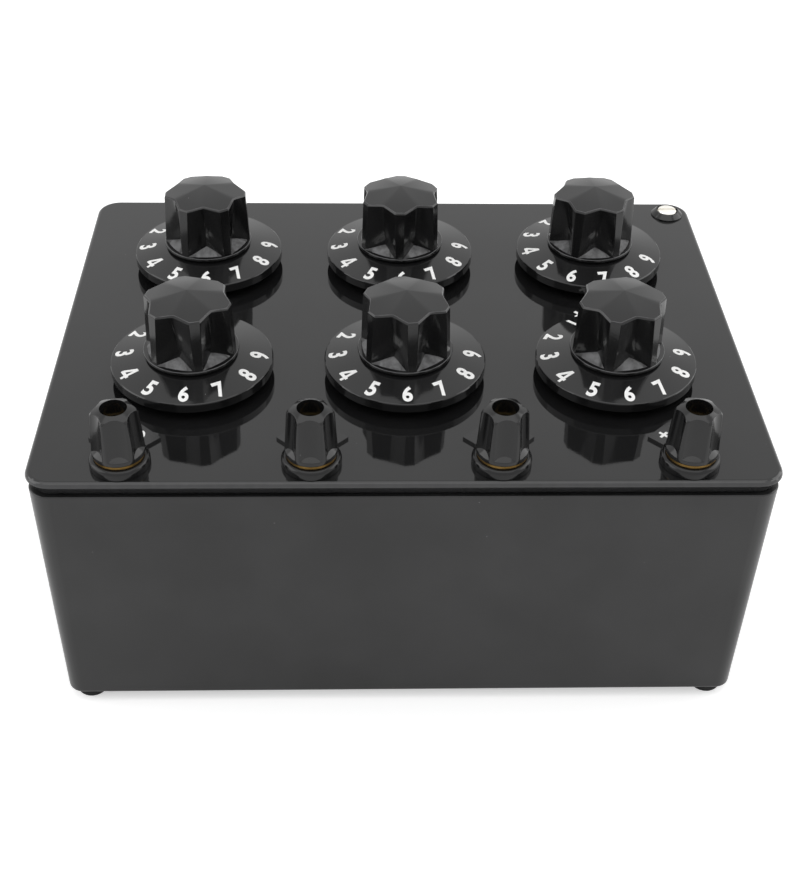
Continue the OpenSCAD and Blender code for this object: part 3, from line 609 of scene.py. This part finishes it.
for i in range(1, 7):
    handle = rounded_copy(f"knob_{i}", f"handle_{i}", HANDLE_ROUND, 3, 25, fill_flutes)
    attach(handle, f"dial_set_{i}")
    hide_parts(f"knob_{i}")
for i in range(1, 5):
    cap = rounded_copy(f"post_cap_{i}", f"post_cap_moulding_{i}", POST_ROUND, 2, 30, shape_cap)
    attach(cap, f"cap_{i}")
    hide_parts(f"post_cap_{i}")
collars = rounded_copy("post_collars", "collar_mouldings", POST_ROUND, 2, 30)
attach(collars, "box")
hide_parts("post_collars")
print("rounded the handles, caps and collars; a handle has", len(handle.data.polygons), "faces")

# %% [markdown]
# The figures and signs are filled with white paint that has dulled a little. Plain white would look
# like paper, so two fine noises vary its tone and its shine.

# %% White paint
PAINT_THICK = 0.16 * MM
PAINT_PER_M = 900.0
PAINT_SHINE_PER_M = 1500.0

paint_white, paint, paint_out = new_material("paint_white")
paint_place = paint.nodes.new("ShaderNodeTexCoord")
paint_shader = paint.nodes.new("ShaderNodeBsdfPrincipled")
paint_tone = two_tone(paint, noise(paint, paint_place, PAINT_PER_M), (0.9, 0.9, 0.89), (0.97, 0.97, 0.96))
paint_shine = spread(paint, noise(paint, paint_place, PAINT_SHINE_PER_M), 0.4, 0.6)
paint.links.new(paint_tone, paint_shader.inputs["Base Color"])
paint.links.new(paint_shine, paint_shader.inputs["Roughness"])
paint.links.new(paint_shader.outputs[0], paint_out.inputs["Surface"])
print("paint:", paint_white.name)

# %% [markdown]
# Text makes the outline of each figure, made bolder by an offset and then turned into a mesh plate.
# The four is drawn from a listed outline, because the lettering's own four closes up when it is made
# bold.

# %% Lettering
FIGURE_BOLD = 0.03
FOUR_OUTLINE = ((0.10, -0.5), (0.28, -0.5), (0.28, -0.29), (0.38, -0.29), (0.38, -0.12), (0.28, -0.12),
                (0.28, 0.5), (0.06, 0.5), (-0.37, -0.13), (-0.37, -0.29), (0.10, -0.29))
FOUR_OPENING = ((0.10, -0.12), (0.10, 0.25), (-0.15, -0.12))


def open_four():
    """The figure four as a plate with an open middle."""
    shape = bmesh.new()
    rims = []
    for outline in (FOUR_OUTLINE, FOUR_OPENING):
        points = [shape.verts.new((x, y, -0.5)) for x, y in outline]
        rims += [shape.edges.new((points[k - 1], points[k])) for k in range(len(points))]
    bmesh.ops.triangle_fill(shape, edges=rims, use_beauty=True, use_dissolve=False)
    raised = bmesh.ops.extrude_face_region(shape, geom=shape.faces[:])
    lifted = [item for item in raised["geom"] if isinstance(item, bmesh.types.BMVert)]
    bmesh.ops.translate(shape, verts=lifted, vec=(0, 0, 1))
    bmesh.ops.recalc_face_normals(shape, faces=shape.faces)
    return shape


def lettering_plate(words, bold):
    """A plate in the shape of some lettering."""
    letters = bpy.data.curves.new("figure", "FONT")
    letters.body = words
    letters.size = 1.0
    letters.offset = bold
    letters.extrude = 0.5
    letters.resolution_u = 5
    holder = bpy.data.objects.new("figure", letters)
    scene.collection.objects.link(holder)
    bpy.context.view_layer.update()
    mesh = bpy.data.meshes.new_from_object(holder.evaluated_get(bpy.context.evaluated_depsgraph_get()))
    shape = bmesh.new()
    shape.from_mesh(mesh)
    bpy.data.objects.remove(holder)
    bpy.data.curves.remove(letters)
    bpy.data.meshes.remove(mesh)
    bmesh.ops.remove_doubles(shape, verts=shape.verts, dist=1e-5)
    return shape


def figure(words, height, narrow, bold=FIGURE_BOLD):
    """A bmesh of flat lettering, centred on the origin, of the given height, standing along +Y."""
    shape = open_four() if words == "4" else lettering_plate(words, bold)
    low = Vector([min(v.co[k] for v in shape.verts) for k in range(3)])
    high = Vector([max(v.co[k] for v in shape.verts) for k in range(3)])
    size = height / (high.y - low.y)
    bmesh.ops.translate(shape, verts=shape.verts, vec=-(low + high) / 2)
    bmesh.ops.scale(shape, verts=shape.verts, vec=(size * narrow, size, PAINT_THICK))
    return shape


def gather(into, shape, place):
    """Add a placed copy of a shape to a larger one."""
    bmesh.ops.transform(shape, matrix=place, verts=shape.verts)
    mesh = bpy.data.meshes.new("part")
    shape.to_mesh(mesh)
    shape.free()
    into.from_mesh(mesh)
    bpy.data.meshes.remove(mesh)


print("lettering plates are", round(PAINT_THICK / MM, 2), "mm thick")

# %% [markdown]
# Ten figures run round each dial's sloping face. They could be cut into the face, but the real ones
# are only filled with paint. So each ring of figures is carried on to the cone point by point, as
# thin plates whose lower half is sunk in the plastic, and it turns with its dial.

# %% Figures on the dials
DIALS = [middle(f"dial_{i}") for i in range(1, 7)]
STEPS = 10
STEP_ANGLE = 30
FIGURE_RING = 19.0 * MM
FIGURE_TALL = 5.35 * MM
FIGURE_NARROW = 0.85
FIGURE_TURN = (-1.8, 0.4, 2.6, 1.8, 0.6, -22.9)
FACE_EDGE_R = 22.3 * MM
FACE_EDGE_Z = 5.6 * MM
FACE_SLOPE = 0.22


def dial_figures(i):
    """Ten figures round one dial, laid on its sloping face."""
    centre_x, centre_y = DIALS[i]
    ring = bmesh.new()
    for k in range(STEPS):
        at = math.radians(90 + STEP_ANGLE * k + FIGURE_TURN[i])
        place = Matrix.Translation((FIGURE_RING * math.cos(at), FIGURE_RING * math.sin(at), 0))
        digit = figure(str(k), FIGURE_TALL, FIGURE_NARROW)
        gather(ring, digit, place @ Matrix.Rotation(at + math.pi / 2, 4, "Z"))
    for v in ring.verts:
        reach = math.hypot(v.co.x, v.co.y)
        v.co.z += PANEL_TOP + FACE_EDGE_Z + FACE_SLOPE * (FACE_EDGE_R - reach)
        v.co.x += centre_x
        v.co.y += centre_y
    piece = object_from(f"dial_figures_{i + 1}", ring)
    piece.data.materials.append(paint_white)
    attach(piece, f"dial_set_{i + 1}")
    return piece


for i in range(6):
    made = dial_figures(i)
    print(made.name, len(made.data.polygons), "faces")

# %% [markdown]
# Behind each dial the panel carries a white index line and the size of that dial's steps. They are
# painted in the same way, as thin plates half sunk in the panel.

# %% Index lines and step sizes on the panel
STEP_WORDS = ("×10k", "×1k", "×100", "×10", "×1", "×0.1")
WORDS_BEHIND = 30.4 * MM
WORDS_TALL = 5.4 * MM
WORDS_NARROW = 1.05
WORDS_BOLD = 0.025
INDEX_BEHIND = 25.1 * MM
INDEX_LONG = 2.4 * MM
INDEX_WIDE = 1.0 * MM
INDEX_ROUND = 0.45 * INDEX_WIDE


def index_line():
    """A short painted line with rounded ends."""
    line = bmesh.new()
    bmesh.ops.create_cube(line, size=1.0)
    bmesh.ops.scale(line, verts=line.verts, vec=(INDEX_WIDE, INDEX_LONG, PAINT_THICK))
    corners = [e for e in line.edges if abs(e.verts[0].co.z - e.verts[1].co.z) > PAINT_THICK / 2]
    bmesh.ops.bevel(line, geom=corners, offset=INDEX_ROUND, segments=4, profile=0.5, affect="EDGES",
                    material=-1)
    return line


print_shape = bmesh.new()
for (x, y), words in zip(DIALS, STEP_WORDS):
    lettering = figure(words, WORDS_TALL, WORDS_NARROW, WORDS_BOLD)
    gather(print_shape, lettering, Matrix.Translation((x, y + WORDS_BEHIND, PANEL_TOP)))
    gather(print_shape, index_line(), Matrix.Translation((x, y + INDEX_BEHIND, PANEL_TOP)))
panel_print = object_from("panel_print", print_shape)
panel_print.data.materials.append(paint_white)
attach(panel_print, "box")
print("panel print", len(panel_print.data.polygons), "faces")

# %% [markdown]
# Each post has a small square tag with a sign on it. The signs are plain, a nought, two figures and
# a cross, and are made as the other lettering is. Two of them stand beside their post, where they
# show from the front.

# %% Signs on the marker tags
POSTS = [middle(f"clamp_washer_{i}") for i in range(1, 5)]
TAG_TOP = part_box("marker_tags")[1].z
TAG_WORDS = ("0", "1", "2", "×")
SIGN_NARROW = 0.95
SIGN_TALL = (3.4 * MM, 3.4 * MM, 3.4 * MM, 2.7 * MM)
SIGN_ASIDE = (4.3 * MM, 0.0, 0.0, -5.2 * MM)
SIGN_BEHIND = (10.8 * MM, 10.8 * MM, 10.8 * MM, 10.3 * MM)

tag_shape = bmesh.new()
for (x, y), words, tall, aside, behind in zip(POSTS, TAG_WORDS, SIGN_TALL, SIGN_ASIDE, SIGN_BEHIND):
    sign = figure(words, tall, SIGN_NARROW)
    gather(tag_shape, sign, Matrix.Translation((x + aside, y + behind, TAG_TOP)))
tag_signs = object_from("tag_signs", tag_shape)
tag_signs.data.materials.append(paint_white)
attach(tag_signs, "box")
print("tag signs", len(tag_signs.data.polygons), "faces")
